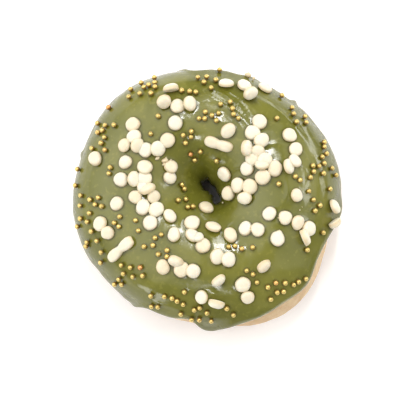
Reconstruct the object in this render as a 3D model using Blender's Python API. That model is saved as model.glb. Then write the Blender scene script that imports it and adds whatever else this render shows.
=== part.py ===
"""A raised ring doughnut, dipped in green glaze and strewn with cream buttons and gold pearls.

Lengths are metres and angles are degrees. A clock angle turns anticlockwise from +X, seen from
above. A round angle turns about the ring's own section: 0 at the outer edge, 90 on the crown,
180 at the neck of the hole and 270 underneath. A reach is how far a place on the top lies from
the neck, at 0, to the outer edge, at 1, seen from above.
"""

import math
import random

import bmesh
import bpy
import numpy as np
from mathutils import Matrix, Vector

MM = 0.001

# The ring of dough
OUTLINE_RADIUS = 47.2 * MM
OUTLINE_LOBES = (  # number of lobes, height in mm, clock of the first crest
    (1, 0.3, -115),
    (2, 1.6, -72),
    (3, 0.6, 25),
    (4, 0.8, -2),
    (5, 0.3, -11),
    (6, 0.5, -21),
)
NECK_CENTRE = np.array((2.6, 1.7)) * MM
NECK_HALF_WIDTH = 2.5 * MM
NECK_HALF_LENGTH = 5.6 * MM
NECK_SQUARENESS = 3.0
PROOF_LINE_HEIGHT = 15.5 * MM
CROWN_HEIGHT = 34.0 * MM
CROWN_LOBES = ((2, 0.5, 40), (3, 0.4, 95))
BASE_DIP = 1.6 * MM
SHOULDER_SQUARENESS = 2.25
FUNNEL_SQUARENESS = 2.0
BASE_SQUARENESS = 2.4

# The glaze
GLAZE_GAP = 0.5 * MM
GLAZE_THICKNESS = 1.4 * MM
GLAZE_BEAD = 0.5 * MM
GLAZE_ROUNDING = 2.2 * MM
SECTION_RADIUS = 20.0 * MM
GLAZE_HEM = -15.0
GLAZE_HEM_RISES = (  # clock, half-width and height, all in degrees
    (-80, 42, 48),
    (53, 17, 40),
    (220, 16, 39),
)
GLAZE_HEM_WAVES = ((7, 3.0, 20), (11, 1.8, 5), (17, 1.0, 0))
GLAZE_LIP_CLOCK = -41.0
GLAZE_LIP_WIDTH = 8.0
GLAZE_LIP = 1.1 * MM
GLAZE_THROAT = 155.0
GLAZE_THROAT_WAVES = ((3, 2.5, 60), (5, 1.5, 0))
GLAZE_THINNING = (105.0, 150.0)  # the round angles between which it thins out into the hole
GLAZE_THINNED = 0.45

# The cream buttons: clock, reach and heading of each pinch, and the kind of each button in it
BUTTON_PINCHES = (
    (-132, 0.11, 50, "r"), (-44, 0.13, -45, "v"), (7, 0.14, -30, "r"), (-30, 0.25, -45, "vr"),
    (126, 0.25, 55, "rr"), (-115, 0.26, 45, "v"), (-46, 0.27, -130, "v"), (-144, 0.27, -30, "r"),
    (-8, 0.31, -30, "r"), (42, 0.31, -55, "p"), (-97, 0.32, -10, "v"), (-172, 0.34, -20, "v"),
    (-138, 0.36, 5, "v"), (158, 0.37, -70, "v"), (-75, 0.37, -35, "rr"), (97, 0.38, -30, "r"),
    (152, 0.39, 95, "s"), (13, 0.40, -30, "s"), (-125, 0.40, -30, "d"), (-17, 0.41, 60, "rv"),
    (-154, 0.41, 150, "v"), (-4, 0.42, -45, "rr"), (169, 0.42, -45, "rr"), (112, 0.43, -25, "rr"),
    (134, 0.43, 55, "rr"), (37, 0.44, -70, "v"), (3, 0.46, -120, "v"), (152, 0.46, 20, "rr"),
    (-179, 0.47, -30, "r"), (-54, 0.47, -30, "r"), (-109, 0.47, -45, "vr"), (83, 0.47, -30, "r"),
    (13, 0.53, -75, "tr"), (-17, 0.55, -25, "rv"), (115, 0.55, -70, "v"), (141, 0.55, -30, "rv"),
    (-143, 0.55, -145, "s"), (-67, 0.58, 40, "t"), (129, 0.59, -30, "r"), (-52, 0.60, -30, "r"),
    (-134, 0.60, -40, "rr"), (-85, 0.60, -85, "s"), (73, 0.60, -25, "rv"), (-114, 0.62, -80, "s"),
    (108, 0.63, -115, "rr"), (157, 0.63, -30, "r"), (19, 0.64, -30, "r"), (119, 0.64, -45, "v"),
    (-36, 0.65, -30, "v"), (-150, 0.65, -20, "v"), (-15, 0.66, 10, "v"), (83, 0.67, -95, "s"),
    (-8, 0.71, -30, "r"), (-100, 0.72, -100, "rr"), (1, 0.73, -30, "r"), (77, 0.73, 60, "s"),
    (-52, 0.74, -60, "vr"), (-177, 0.75, 176, "l"), (-59, 0.75, -5, "s"), (-123, 0.76, 135, "v"),
    (168, 0.77, -80, "rr"), (-115, 0.77, -130, "s"), (34, 0.79, -90, "s"), (47, 0.80, 60, "v"),
    (131, 0.82, -20, "v"), (38, 0.85, -30, "r"), (29, 0.92, -30, "d"), (-38, 0.93, 10, "v"),
    (-44, 0.93, -110, "s"), (-132, 0.36, 50, "v"),
)
BUTTON_KINDS = {  # width across its heading, length along it, tip towards it in degrees, lift in mm
    "r": (1.00, 0.96, 0, 0.0),  # round
    "v": (1.00, 0.88, 26, 0.8),  # lying aslant
    "s": (1.04, 0.92, 64, 1.9),  # standing on its edge
    "t": (0.96, 1.00, 0, 0.0),  # drawn out to a point
    "d": (1.05, 1.00, 0, 0.0),  # with a dent
    "p": (0.92, 2.10, 0, 0.0),  # two run together
    "l": (0.70, 2.35, 0, 0.0),  # long
}
BUTTON_SEED = 11
BUTTON_DIAMETER = 5.3 * MM
BUTTON_HEIGHT = 2.2 * MM
BUTTON_BASE_DEPTH = 0.6 * MM
BUTTON_SUNK = 0.35 * MM
BUTTON_PITCH = 4.0 * MM
BUTTON_LEAN = 70.0  # how far a button tips, in degrees, for a full overlap with the one before

# The gold pearls
PEARL_COUNT = 112
PEARL_SEED = 5
PEARL_DIAMETER = 1.95 * MM
PEARL_SUNK = 0.3 * MM
PEARL_REACHES = (0.14, 0.95)
PEARL_CROWDING = (0.25, 160)  # how much denser than the mean they lie at most, and at which clock
PEARL_HEM_MARGIN = 9.0
PEARL_RUN = 3  # the most that lie together
PEARL_ROLLING = 0.5
PEARL_ROOM = 1.6 * MM

# Mesh fineness
CLOCK_STEPS = 60
DOUGH_ROUND_STEPS = 16
GLAZE_TOP_STEPS = 12
GLAZE_UNDER_STEPS = 10


def lobes(clock, rows):
    """The sum of cosine waves round the ring, from rows of number, height and clock of a crest."""
    return sum(height * np.cos(np.radians(count * (clock - crest))) for count, height, crest in rows)


def outline_radius(clock):
    """The outer edge seen from above: a circle with a few low lobes."""
    return OUTLINE_RADIUS + MM * lobes(clock, OUTLINE_LOBES)


def neck_radius(clock):
    """The hole's narrowest outline: a superellipse whose long axis lies along Y."""
    across = np.abs(np.cos(np.radians(clock)) / NECK_HALF_WIDTH) ** NECK_SQUARENESS
    along = np.abs(np.sin(np.radians(clock)) / NECK_HALF_LENGTH) ** NECK_SQUARENESS
    return (across + along) ** (-1 / NECK_SQUARENESS)


def section(round_angle):
    """Reach and height share of the ring's section: a superellipse with its own squareness at the
    shoulder, in the hole and underneath."""
    c = np.cos(np.radians(round_angle))
    s = np.sin(np.radians(round_angle))
    squareness = np.where(s < 0, BASE_SQUARENESS, np.where(c < 0, FUNNEL_SQUARENESS, SHOULDER_SQUARENESS))
    radius = (np.abs(c) ** squareness + np.abs(s) ** squareness) ** (-1 / squareness)
    return 0.5 + 0.5 * radius * c, radius * s


def plan_place(clock, reach):
    """A place seen from above: the neck plus a share, reach, of the way to the outline."""
    direction = np.stack((np.cos(np.radians(clock)), np.sin(np.radians(clock))), axis=-1)
    neck = NECK_CENTRE + neck_radius(clock)[..., None] * direction
    outline = outline_radius(clock)[..., None] * direction
    return neck + np.asarray(reach)[..., None] * (outline - neck)


def dough_points(clock, round_angle):
    """Points on the dough's skin: the section is swept from the neck to the outline."""
    reach, rise = section(round_angle)
    plan = plan_place(clock, reach)
    crown = CROWN_HEIGHT + MM * lobes(clock, CROWN_LOBES) - PROOF_LINE_HEIGHT
    depth = PROOF_LINE_HEIGHT + BASE_DIP
    height = PROOF_LINE_HEIGHT + rise * np.where(rise > 0, crown, depth)
    return np.concatenate((plan, np.maximum(height, 0)[..., None]), axis=-1)


def skin_normals(clock, round_angle):
    """Outward unit normals of the dough's skin, from differences along both angles."""
    step = 0.05
    around = dough_points(clock + step, round_angle) - dough_points(clock - step, round_angle)
    over = dough_points(clock, round_angle + step) - dough_points(clock, round_angle - step)
    normal = np.cross(around, over)
    return normal / np.linalg.norm(normal, axis=-1, keepdims=True)


def glaze_hem(clock):
    """Round angle of the glaze's lower edge: below the proof line, and higher where it stops short."""
    hem = GLAZE_HEM + lobes(clock, GLAZE_HEM_WAVES)
    for centre, half_width, height in GLAZE_HEM_RISES:
        away = np.abs((clock - centre + 180) % 360 - 180) / half_width
        hem = hem + height * np.exp(-(away**6))
    return hem


def glaze_throat(clock):
    """Round angle of the glaze's inner edge, down in the hole."""
    return GLAZE_THROAT + lobes(clock, GLAZE_THROAT_WAVES)


def glaze_lift(clock, round_angle):
    """Height of the glaze over the dough's skin: even on top, a bead and a rounded end at the hem,
    thinner and rounded off in the hole, and one swollen lip."""
    from_hem = np.radians(round_angle - glaze_hem(clock)) * SECTION_RADIUS
    from_throat = np.radians(glaze_throat(clock) - round_angle) * SECTION_RADIUS
    inset = 1 - np.clip(np.minimum(from_hem, from_throat) / GLAZE_ROUNDING, 0, 1)
    bead = GLAZE_BEAD * np.exp(-((from_hem / (2 * GLAZE_ROUNDING) - 0.5) ** 2) * 4)
    away = ((clock - GLAZE_LIP_CLOCK + 180) % 360 - 180) / GLAZE_LIP_WIDTH
    lip = GLAZE_LIP * np.exp(-(away**2) - (from_hem / (4 * GLAZE_ROUNDING)) ** 2)
    thinning = np.interp(round_angle, GLAZE_THINNING, (1, GLAZE_THINNED))
    thickness = GLAZE_THICKNESS * thinning + bead + lip
    return GLAZE_GAP + thickness * np.sqrt(np.maximum(1 - inset**2, 0))


def glaze_points(clock, round_angle):
    """Points on the glaze's outer surface."""
    lift = glaze_lift(clock, round_angle)[..., None]
    return dough_points(clock, round_angle) + lift * skin_normals(clock, round_angle)


def eased(steps, ends):
    """Shares from 0 to 1 that lie closer together towards both ends."""
    even = np.linspace(0, 1, steps)
    return (1 - ends) * even + ends * (0.5 - 0.5 * np.cos(np.pi * even))


def torus(name, round_steps):
    """A torus primitive, whose vertices run round the section and then along the clock."""
    bpy.ops.mesh.primitive_torus_add(
        major_segments=CLOCK_STEPS,
        minor_segments=round_steps,
        major_radius=OUTLINE_RADIUS / 2,
        minor_radius=OUTLINE_RADIUS / 4,
    )
    ring = bpy.context.active_object
    ring.name = name
    return ring


def reshape(ring, points):
    """Moves a torus's vertices to the given places and turns its faces outwards."""
    ring.data.vertices.foreach_set("co", points.reshape(-1).astype(np.float32))
    mesh = bmesh.new()
    mesh.from_mesh(ring.data)
    bmesh.ops.recalc_face_normals(mesh, faces=mesh.faces)
    bmesh.ops.triangulate(mesh, faces=mesh.faces, quad_method="SHORT_EDGE")
    mesh.to_mesh(ring.data)
    mesh.free()
    ring.data.shade_smooth()


def clock_grid(round_steps):
    """Clock angles for every vertex of a torus."""
    clocks = np.arange(CLOCK_STEPS) * 360 / CLOCK_STEPS
    return np.repeat(clocks[:, None], round_steps, axis=1)


def make_dough():
    """The ring of dough, with a flat base to rest on."""
    ring = torus("dough", DOUGH_ROUND_STEPS)
    clock = clock_grid(DOUGH_ROUND_STEPS)
    round_angle = np.broadcast_to(np.arange(DOUGH_ROUND_STEPS) * 360 / DOUGH_ROUND_STEPS, clock.shape)
    reshape(ring, dough_points(clock, round_angle))
    return ring


def make_glaze():
    """The glaze: over the top from the hem to the throat, and back a small gap above the dough."""
    ring = torus("glaze", GLAZE_TOP_STEPS + GLAZE_UNDER_STEPS)
    top = eased(GLAZE_TOP_STEPS, 0.6)
    under = 1 - eased(GLAZE_UNDER_STEPS + 2, 0.3)[1:-1]
    clock = clock_grid(GLAZE_TOP_STEPS + GLAZE_UNDER_STEPS)
    share = np.broadcast_to(np.concatenate((top, under)), clock.shape)
    round_angle = glaze_hem(clock) + share * (glaze_throat(clock) - glaze_hem(clock))
    lift = glaze_lift(clock, round_angle)
    lift[:, GLAZE_TOP_STEPS:] = GLAZE_GAP
    reshape(ring, dough_points(clock, round_angle) + lift[..., None] * skin_normals(clock, round_angle))
    return ring


def round_angle_at(reach):
    """The round angle, on the top, of a place with this reach."""
    rounds = np.linspace(180, 0, 361)
    return np.interp(reach, section(rounds)[0], rounds)


def perch(clock, reach):
    """The glaze's surface at a clock and a reach on the top: a point and an outward normal."""
    clock, round_angle = np.array([clock]), np.array([round_angle_at(reach)])
    point = glaze_points(clock, round_angle)[0]
    normal = skin_normals(clock, round_angle)[0]
    return Vector(point), Vector(normal)


def standing_on(point, normal, spin, tip, lift):
    """A placing matrix: up along the normal, spun about it from +X laid into the surface, tipped
    about its own X and lifted."""
    side = (Vector((1, 0, 0)) - normal * normal.x).normalized()
    upright = Matrix((side, normal.cross(side), normal)).transposed().to_4x4()
    turn = Matrix.Rotation(spin, 4, "Z") @ Matrix.Rotation(tip, 4, "X")
    return Matrix.Translation(point + normal * lift) @ upright @ turn


def button_places():
    """Placing matrix, size factors and kind of each button. A pinch is a chain of buttons about its
    middle, and a button that overlaps the one before it leans on it."""
    draw = random.Random(BUTTON_SEED)
    places = []
    for clock, reach, heading, kinds in BUTTON_PINCHES:
        middle = plan_place(np.array(clock), reach)
        turn = math.radians(heading)
        for i, kind in enumerate(kinds):
            along = (i - (len(kinds) - 1) / 2) * BUTTON_PITCH * draw.uniform(0.9, 1.1)
            x = middle[0] + along * math.cos(turn)
            y = middle[1] + along * math.sin(turn)
            point, normal = perch(*clock_and_reach(x, y))
            across, length, tip, lift = BUTTON_KINDS[kind]
            size = draw.uniform(0.92, 1.08)
            overlap = 0
            if i:
                gap = (point - places[-1][0].translation).length
                overlap = max(0, 1 - gap / BUTTON_DIAMETER)
            spin = turn + math.pi / 2 + draw.uniform(-0.15, 0.15)
            tip = math.radians(tip + BUTTON_LEAN * overlap + draw.uniform(-6, 6))
            lift = lift * MM - BUTTON_SUNK + BUTTON_HEIGHT * overlap
            placing = standing_on(point, normal, spin, tip, lift)
            places.append((placing, (size * across, size * length, size), kind))
    return places


def clock_and_reach(x, y):
    """The clock and reach of a place seen from above, by a few rounds of correction."""
    reach = 0.5
    for _ in range(12):
        centre = NECK_CENTRE * (1 - reach)
        clock = math.degrees(math.atan2(y - centre[1], x - centre[0]))
        angle = np.array(clock)
        neck = float(neck_radius(angle))
        outline = float(outline_radius(angle))
        distance = math.hypot(x - centre[0], y - centre[1])
        reach = min(max((distance - neck) / (outline - neck), 0.02), 0.985)
    return clock, reach


def pearl_places(buttons):
    """Placing matrices of the pearls: seeded darts over the glaze, denser to one side, some rolled
    against the one before in runs of a few, and none off the glaze or where something lies."""
    draw = random.Random(PEARL_SEED)
    taken = [(matrix.translation, 0.55 * BUTTON_DIAMETER) for matrix, _, _ in buttons]
    nearest, farthest = PEARL_REACHES
    crowding, densest = PEARL_CROWDING
    places = []
    run = 0
    while len(places) < PEARL_COUNT:
        clock = draw.uniform(0, 360)
        reach = math.sqrt(draw.uniform(nearest**2, farthest**2))
        if draw.uniform(0, 1 + crowding) > 1 + crowding * math.cos(math.radians(clock - densest)):
            continue
        rolled = 0 < run < PEARL_RUN and draw.random() < PEARL_ROLLING
        room = 0.45 * PEARL_DIAMETER if rolled else PEARL_ROOM
        if rolled:
            last = places[-1].translation
            turn = draw.uniform(0, math.tau)
            step = PEARL_DIAMETER * draw.uniform(1.02, 1.6)
            clock, reach = clock_and_reach(last.x + step * math.cos(turn), last.y + step * math.sin(turn))
        on_glaze = round_angle_at(reach) > glaze_hem(clock) + PEARL_HEM_MARGIN
        if not (on_glaze and nearest < reach < farthest):
            continue
        point, normal = perch(clock, reach)
        if any((point - other).length < radius + room for other, radius in taken):
            continue
        run = run + 1 if rolled else 1
        places.append(standing_on(point, normal, 0, 0, PEARL_DIAMETER / 2 - PEARL_SUNK))
        taken.append((point, PEARL_DIAMETER / 2))
    return places


def button_mesh():
    """A button: a round dome over a shallow base."""
    mesh = bmesh.new()
    bmesh.ops.create_uvsphere(mesh, u_segments=8, v_segments=4, radius=BUTTON_DIAMETER / 2)
    for vertex in mesh.verts:
        height = BUTTON_HEIGHT if vertex.co.z > 0 else BUTTON_BASE_DEPTH
        vertex.co.z *= height / (BUTTON_DIAMETER / 2)
    return finished_mesh(mesh, "button")


def pearl_mesh():
    """A pearl, as a small ball."""
    mesh = bmesh.new()
    bmesh.ops.create_icosphere(mesh, subdivisions=1, radius=PEARL_DIAMETER / 2)
    return finished_mesh(mesh, "pearl")


def finished_mesh(mesh, name):
    """A mesh's data from its editing form, which is freed."""
    data = bpy.data.meshes.new(name)
    mesh.to_mesh(data)
    mesh.free()
    return data


def scatter(toppings, data, name, matrix):
    """Puts one topping among those that are about to be joined to the glaze."""
    piece = bpy.data.objects.new(name, data)
    piece.matrix_world = matrix
    toppings.objects.link(piece)


def fuse_toppings(glaze):
    """Joins the toppings to the glaze and keeps only the one outer body."""
    toppings = bpy.data.collections.new("toppings")
    bpy.context.scene.collection.children.link(toppings)
    buttons = button_places()
    button, pearl = button_mesh(), pearl_mesh()
    for matrix, size, _ in buttons:
        scatter(toppings, button, "button", matrix @ Matrix.Diagonal((*size, 1)))
    for matrix in pearl_places(buttons):
        scatter(toppings, pearl, "pearl", matrix)
    bpy.context.view_layer.update()
    join = glaze.modifiers.new("toppings", "BOOLEAN")
    join.operation = "UNION"
    join.operand_type = "COLLECTION"
    join.collection = toppings
    join.solver = "EXACT"
    bpy.context.view_layer.objects.active = glaze
    bpy.ops.object.modifier_apply(modifier=join.name)
    for piece in list(toppings.objects):
        bpy.data.objects.remove(piece)
    bpy.data.collections.remove(toppings)
    keep_largest_shell(glaze)


def keep_largest_shell(piece):
    """Drops loose scraps and the skins of hollows that joining sealed."""
    mesh = bmesh.new()
    mesh.from_mesh(piece.data)
    left = set(mesh.verts)
    shells = []
    while left:
        shell, edge = set(), {left.pop()}
        while edge:
            shell |= edge
            edge = {e.other_vert(v) for v in edge for e in v.link_edges} - shell
        left -= shell
        shells.append(shell)
    shells.sort(key=len)
    for shell in shells[:-1]:
        bmesh.ops.delete(mesh, geom=list(shell), context="VERTS")
    mesh.to_mesh(piece.data)
    mesh.free()


def finish(piece, colour, roughness):
    """Gives a piece its colour and gloss."""
    material = bpy.data.materials.new(piece.name)
    material.use_nodes = True
    shader = material.node_tree.nodes["Principled BSDF"]
    shader.inputs["Base Color"].default_value = (*colour, 1)
    shader.inputs["Roughness"].default_value = roughness
    piece.data.materials.clear()
    piece.data.materials.append(material)


def main():
    """Empties the file and makes the dough and the glaze with its toppings."""
    for old in list(bpy.data.objects):
        bpy.data.objects.remove(old)
    doughnut = bpy.data.collections.new("ring_doughnut")
    bpy.context.scene.collection.children.link(doughnut)
    layer = bpy.context.view_layer.layer_collection.children[doughnut.name]
    bpy.context.view_layer.active_layer_collection = layer
    dough = make_dough()
    glaze = make_glaze()
    fuse_toppings(glaze)
    finish(dough, (0.62, 0.40, 0.20), 0.7)
    finish(glaze, (0.25, 0.24, 0.07), 0.25)


main()
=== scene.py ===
"""A raised ring doughnut with green glaze, cream buttons and gold pearls, dressed over its solids.

Lengths are metres and angles are degrees. A clock angle turns anticlockwise from +X, seen from
above. A round angle turns about the ring's own section: 0 at the outer edge, 90 on the crown,
180 at the neck of the hole and 270 underneath. A reach is how far a place on the top lies from
the neck, at 0, to the outer edge, at 1, seen from above. The shape and the places of the toppings
follow the same formulas and the same seeded draws as the solids.
"""

import math
import random

import bmesh
import bpy
import numpy as np
from mathutils import Matrix, Vector


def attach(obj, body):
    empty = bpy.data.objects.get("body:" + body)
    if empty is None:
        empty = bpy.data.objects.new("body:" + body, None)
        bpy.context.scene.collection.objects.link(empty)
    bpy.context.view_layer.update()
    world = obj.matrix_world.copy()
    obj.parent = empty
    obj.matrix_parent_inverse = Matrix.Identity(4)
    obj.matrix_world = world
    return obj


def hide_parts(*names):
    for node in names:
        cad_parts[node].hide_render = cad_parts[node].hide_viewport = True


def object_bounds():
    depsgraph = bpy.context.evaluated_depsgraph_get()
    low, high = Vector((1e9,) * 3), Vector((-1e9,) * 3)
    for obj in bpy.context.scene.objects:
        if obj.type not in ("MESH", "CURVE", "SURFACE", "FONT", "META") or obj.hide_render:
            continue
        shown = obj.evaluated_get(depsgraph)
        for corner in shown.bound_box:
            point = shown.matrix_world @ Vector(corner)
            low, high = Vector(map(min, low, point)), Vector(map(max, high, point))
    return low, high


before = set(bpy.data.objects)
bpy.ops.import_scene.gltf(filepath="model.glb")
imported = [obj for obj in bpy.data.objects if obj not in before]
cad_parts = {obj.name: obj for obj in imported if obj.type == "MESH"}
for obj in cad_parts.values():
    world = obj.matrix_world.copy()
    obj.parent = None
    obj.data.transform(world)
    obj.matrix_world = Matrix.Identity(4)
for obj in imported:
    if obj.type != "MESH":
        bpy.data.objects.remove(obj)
cad_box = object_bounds()

MM = 0.001

# The ring of dough
OUTLINE_RADIUS = 47.2 * MM
OUTLINE_LOBES = (  # number of lobes, height in mm, clock of the first crest
    (1, 0.3, -115),
    (2, 1.6, -72),
    (3, 0.6, 25),
    (4, 0.8, -2),
    (5, 0.3, -11),
    (6, 0.5, -21),
)
NECK_CENTRE = np.array((2.6, 1.7)) * MM
NECK_HALF_WIDTH = 2.5 * MM
NECK_HALF_LENGTH = 5.6 * MM
NECK_SQUARENESS = 3.0
PROOF_LINE_HEIGHT = 15.5 * MM
CROWN_HEIGHT = 34.0 * MM
CROWN_LOBES = ((2, 0.5, 40), (3, 0.4, 95))
BASE_DIP = 1.6 * MM
SHOULDER_SQUARENESS = 2.25
FUNNEL_SQUARENESS = 2.0
BASE_SQUARENESS = 2.4

# The glaze
GLAZE_GAP = 0.5 * MM
GLAZE_THICKNESS = 1.4 * MM
GLAZE_BEAD = 0.5 * MM
GLAZE_ROUNDING = 2.2 * MM
SECTION_RADIUS = 20.0 * MM
GLAZE_HEM = -15.0
GLAZE_HEM_RISES = (  # clock, half-width and height, all in degrees
    (-80, 42, 48),
    (53, 17, 40),
    (220, 16, 39),
)
GLAZE_HEM_WAVES = ((7, 3.0, 20), (11, 1.8, 5), (17, 1.0, 0))
GLAZE_LIP_CLOCK = -41.0
GLAZE_LIP_WIDTH = 8.0
GLAZE_LIP = 1.1 * MM
GLAZE_THROAT = 202.0
GLAZE_THROAT_WAVES = ((3, 2.5, 60), (5, 1.5, 0))
GLAZE_THINNING = (105.0, 150.0)  # the round angles between which it thins out into the hole
GLAZE_THINNED = 0.45

# The least and the most reach of a topping, and the rounds of correction that find it
PLACE_REACHES = (0.02, 0.985)
PLACE_ROUNDS = 12

# The cream buttons: clock, reach and heading of each pinch, and the kind of each button in it
BUTTON_PINCHES = (
    (-132, 0.11, 50, "r"), (-44, 0.13, -45, "v"), (7, 0.14, -30, "r"), (-30, 0.25, -45, "vr"),
    (126, 0.25, 55, "rr"), (-115, 0.26, 45, "v"), (-46, 0.27, -130, "v"), (-144, 0.27, -30, "r"),
    (-8, 0.31, -30, "r"), (42, 0.31, -55, "p"), (-97, 0.32, -10, "v"), (-172, 0.34, -20, "v"),
    (-138, 0.36, 5, "v"), (158, 0.37, -70, "v"), (-75, 0.37, -35, "rr"), (97, 0.38, -30, "r"),
    (152, 0.39, 95, "s"), (13, 0.40, -30, "s"), (-125, 0.40, -30, "d"), (-17, 0.41, 60, "rv"),
    (-154, 0.41, 150, "v"), (-4, 0.42, -45, "rr"), (169, 0.42, -45, "rr"), (112, 0.43, -25, "rr"),
    (134, 0.43, 55, "rr"), (37, 0.44, -70, "v"), (3, 0.46, -120, "v"), (152, 0.46, 20, "rr"),
    (-179, 0.47, -30, "r"), (-54, 0.47, -30, "r"), (-109, 0.47, -45, "vr"), (83, 0.47, -30, "r"),
    (13, 0.53, -75, "tr"), (-17, 0.55, -25, "rv"), (115, 0.55, -70, "v"), (141, 0.55, -30, "rv"),
    (-143, 0.55, -145, "s"), (-67, 0.58, 40, "t"), (129, 0.59, -30, "r"), (-52, 0.60, -30, "r"),
    (-134, 0.60, -40, "rr"), (-85, 0.60, -85, "s"), (73, 0.60, -25, "rv"), (-114, 0.62, -80, "s"),
    (108, 0.63, -115, "rr"), (157, 0.63, -30, "r"), (19, 0.64, -30, "r"), (119, 0.64, -45, "v"),
    (-36, 0.65, -30, "v"), (-150, 0.65, -20, "v"), (-15, 0.66, 10, "v"), (83, 0.67, -95, "s"),
    (-8, 0.71, -30, "r"), (-100, 0.72, -100, "rr"), (1, 0.73, -30, "r"), (77, 0.73, 60, "s"),
    (-52, 0.74, -60, "vr"), (-177, 0.75, 176, "l"), (-59, 0.75, -5, "s"), (-123, 0.76, 135, "v"),
    (168, 0.77, -80, "rr"), (-115, 0.77, -130, "s"), (34, 0.79, -90, "s"), (47, 0.80, 60, "v"),
    (131, 0.82, -20, "v"), (38, 0.85, -30, "r"), (29, 0.92, -30, "d"), (-38, 0.93, 10, "v"),
    (-44, 0.93, -110, "s"), (-132, 0.36, 50, "v"),
)
BUTTON_KINDS = {  # width across its heading, length along it, tip towards it in degrees, lift in mm
    "r": (1.00, 0.96, 0, 0.0),  # round
    "v": (1.00, 0.88, 26, 0.8),  # lying aslant
    "s": (1.04, 0.92, 64, 1.9),  # standing on its edge
    "t": (0.96, 1.00, 0, 0.0),  # drawn out to a point
    "d": (1.05, 1.00, 0, 0.0),  # with a dent
    "p": (0.92, 2.10, 0, 0.0),  # two run together
    "l": (0.70, 2.35, 0, 0.0),  # long
}
BUTTON_SEED = 11
BUTTON_DIAMETER = 5.3 * MM
BUTTON_HEIGHT = 2.2 * MM
BUTTON_SUNK = 0.35 * MM
BUTTON_PITCH = 4.0 * MM
BUTTON_PITCH_SHARES = (0.9, 1.1)
BUTTON_SIZE_SHARES = (0.92, 1.08)
BUTTON_LEAN = 70.0  # how far a button tips, in degrees, for a full overlap with the one before
BUTTON_TIP_SPREAD = 6.0  # degrees either way
BUTTON_SPIN_SPREAD = 0.15  # radians either way
BUTTON_ROOM = 0.55 * BUTTON_DIAMETER  # what is kept clear of pearls about its middle
LONG_BUTTON = 1.5  # the length factor past which a button's ends reach out of that room

# The gold pearls
PEARL_COUNT = 160
PEARL_SEED = 5
PEARL_DIAMETER = 1.95 * MM
PEARL_SUNK = 0.3 * MM
PEARL_REACHES = (0.14, 0.95)
PEARL_CROWDING = (0.25, 160)  # how much denser than the mean they lie at most, and at which clock
PEARL_HEM_MARGIN = 9.0
PEARL_RUN = 3  # the most that lie together
PEARL_ROLLING = 0.5  # how often the next one rolls against the last
PEARL_ROOM = 1.6 * MM
PEARL_ROLLED_ROOM = 0.45 * PEARL_DIAMETER  # the room of one that has rolled against another
PEARL_ROLLED_STEPS = (1.02, 1.6)  # how far it lies from the other, in diameters

# The seed of each piece's waves
WAVE_SEEDS = {
    "glaze": 10,
    "wrinkles": 20,
    "glaze side": 30,
    "dough": 40,
    "crust": 60,
    "buttons": 70,
    "crumbs": 80,
    "pearls": 90,
}
WAVES = 14  # how many plane waves make one set
WAVE_SPREAD = (0.7, 1.5)  # the least and the most of their wavelengths, of the set's own

# Relief of the dough: wavelength and height of each set of lumps, in mm
DOUGH_INSET = 0.35 * MM
DOUGH_LUMPS = ((17.0, 0.16), (6.0, 0.07), (2.6, 0.035))
DOUGH_CLOCK_STEPS = 420
DOUGH_ROUND_STEPS = 200

# The crust, by round angles below the proof line: its outer and inner edges, the wavelength in mm
# and the depth in degrees of the edges' waves, and how softly each edge fades
CRUST_EDGE = -22.0
CRUST_INNER_EDGE = -156.0
CRUST_EDGE_WAVES = ((16.0, 5.0), (5.0, 2.0))
CRUST_FADE = 16.0
CRUST_INNER_FADE = 20.0

# Relief of the glaze
GLAZE_INSET = 0.25 * MM
GLAZE_LUMPS = ((24.0, 0.09), (10.0, 0.045), (4.5, 0.018))
GLAZE_SIDE_LUMPS = ((8.0, 0.07), (4.0, 0.03))  # more of them on its steep side
GLAZE_SIDE_ANGLES = (60.0, 20.0)  # the round angles between which its side grows steep
GLAZE_SIDE_ONSET = 1.5  # the power that makes this start slowly
GLAZE_HOLE_SHADE_ANGLES = (150.0, 185.0)  # the round angles between which it goes down into the hole, and its painted shade there grows
GLAZE_HEM_RIPPLES = ((23, 0.7, 3), (31, 0.5, 8))
GLAZE_CLOCK_STEPS = 460
GLAZE_TOP_STEPS = 188
GLAZE_UNDER_STEPS = 24
GLAZE_STEP_EVENNESS = 0.6  # the rest of the steps crowd towards the hem and the throat
GLAZE_FULL_SHARE = 0.8  # the share of its thinnest coat from which the relief is at full height
WRINKLES = (  # clock and reach of each patch, its heading, half-length and half-width in mm, depth
    (40, 0.70, -76, 15.0, 5.5, 1.0),
    (6, 0.90, -84, 15.0, 4.0, 1.0),
    (-20, 0.72, -112, 7.0, 3.5, 0.8),
    (30, 0.26, -60, 7.0, 3.0, 0.7),
    (90, 0.76, -112, 6.0, 3.0, 0.8),
    (-118, 0.76, -30, 7.0, 3.5, 0.6),
    (60, 0.94, -40, 10.0, 3.0, 0.8),
    (-35, 0.90, -120, 8.0, 3.0, 0.7),
    (150, 0.92, -125, 12.0, 3.0, 0.6),
    (-160, 0.90, -75, 12.0, 3.0, 0.5),
    (-100, 0.90, -20, 10.0, 3.0, 0.5),
)
WRINKLE_PITCH = 1.7 * MM
WRINKLE_HEIGHT = 0.022 * MM
WRINKLE_STRETCH = 0.15  # the share of a length along a wrinkle that counts, which draws it out
WRINKLE_BEND = 60.0  # twice the radius, in mm, that a patch is bent to
WRINKLE_APART = 50.0  # how far one patch's grain is set from the next one's, in mm
KNOBS = (  # clock and round angle of knobs and of bulges in the hole, half-widths, height in mm
    (128, 2, 1.8, 9, 0.9),
    (16, 2, 1.8, 9, 1.2),
    (10, 0, 5.0, 16, 0.5),
    (-140, 180, 22, 26, 1.1),
    (-20, 182, 14, 20, 0.5),
)
NECK_LOBES = ((1, 0.45, 150), (2, 0.25, 20), (3, 0.30, 70), (5, 0.18, 30), (8, 0.10, 0))
NECK_REACH = 32.0  # how far these lobes reach from the neck, in degrees of the round angle
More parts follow.
